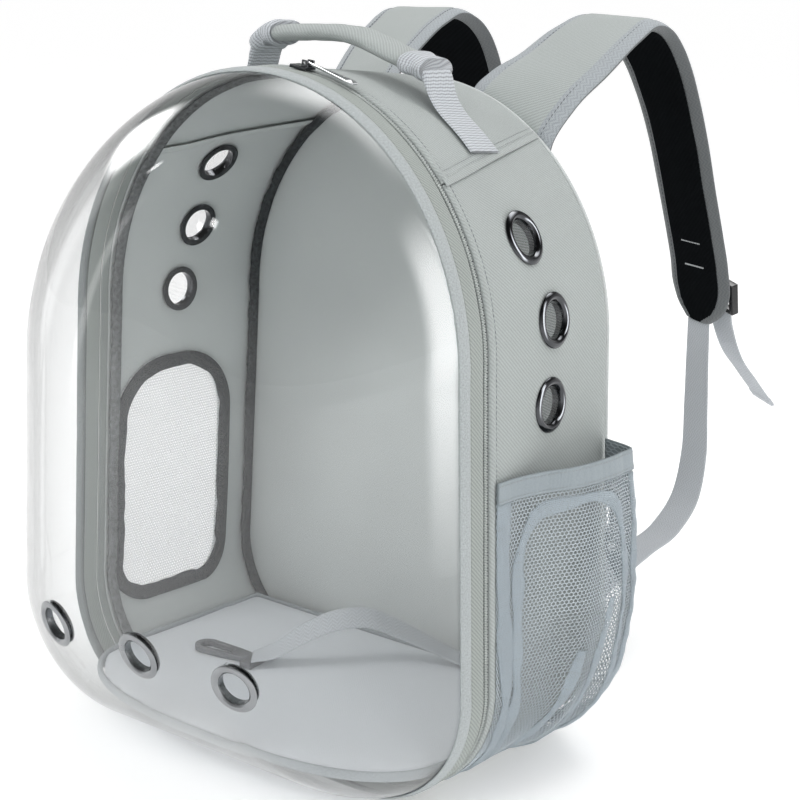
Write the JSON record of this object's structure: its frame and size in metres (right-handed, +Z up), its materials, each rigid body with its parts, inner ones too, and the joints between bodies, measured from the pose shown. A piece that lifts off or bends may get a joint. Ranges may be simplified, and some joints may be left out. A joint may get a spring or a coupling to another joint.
{
  "type": "pet carrier backpack",
  "caption": "Arched grey fabric pet carrier with a clear domed zip door, ringed air vents, mesh side pocket, carry handle and two padded shoulder straps.",
  "frame": {"origin": "middle of the base panel's underside, on the floor", "axes": "+X to the right as seen from the domed front, +Y towards the wearer's back, +Z up"},
  "size_m": [0.3433, 0.5735, 0.4494],
  "materials": {
    "clear_plastic": "clear polished",
    "twill": "grey twill",
    "piping_cloth": "brushed grey edge tape",
    "zipper_coil": "moulded coil",
    "bright_metal": "dark nickel",
    "vent_metal": "gunmetal",
    "vent_net": "dark net",
    "window_net": "pale net",
    "binding_cloth": "dark edge tape",
    "pocket_net": "spacer net",
    "hem_tape": "elastic hem tape",
    "mat_cloth": "plain woven",
    "webbing": "ribbed webbing",
    "strap_cloth": "grey twill with a dark net inside",
    "hook_plastic": "moulded",
    "buckle_plastic": "moulded"
  },
  "bodies": {
    "bag": {"dome_shell": "clear_plastic", "dome_vent_ring_1": "vent_metal", "dome_vent_ring_2": "vent_metal", "dome_vent_ring_3": "vent_metal", "door_piping": "piping_cloth", "door_band": "twill", "zipper_coil": "zipper_coil", "zip_slider": "bright_metal", "top_panel": "twill", "side_panel_right": "twill", "side_panel_left": "twill", "base_panel": "twill", "side_vent_ring_right_1": "vent_metal", "side_vent_ring_right_2": "vent_metal", "side_vent_ring_right_3": "vent_metal", "side_vent_ring_left_1": "vent_metal", "side_vent_ring_left_2": "vent_metal", "side_vent_ring_left_3": "vent_metal", "side_vent_mesh_right_1": "vent_net", "side_vent_mesh_right_2": "vent_net", "side_vent_mesh_right_3": "vent_net", "side_vent_mesh_left_1": "vent_net", "side_vent_mesh_left_2": "vent_net", "side_vent_mesh_left_3": "vent_net", "back_panel": "twill", "seam_binding": "binding_cloth", "window_mesh": "window_net", "window_binding": "binding_cloth", "pocket_mesh": "pocket_net", "pocket_hem": "hem_tape", "floor_mat": "mat_cloth", "leash_webbing": "webbing", "leash_hook": "hook_plastic", "handle_grip": "twill", "handle_webbing_left": "webbing", "handle_webbing_right": "webbing", "shoulder_strap_left": "strap_cloth", "shoulder_strap_right": "strap_cloth", "strap_webbing_left": "webbing", "strap_webbing_right": "webbing", "strap_buckle_left": "buckle_plastic", "strap_buckle_right": "buckle_plastic", "strap_tail_left": "webbing", "strap_tail_right": "webbing"},
    "zip_puller": {"zip_puller": "bright_metal"}
  },
  "joints": [
    {"name": "puller_swing", "type": "hinge", "parent": "bag", "child": "zip_puller", "pos_m": [0.02128, -0.0675, 0.42282], "axis": [0, -1, 0], "range_deg": [0, 150]}
  ]
}
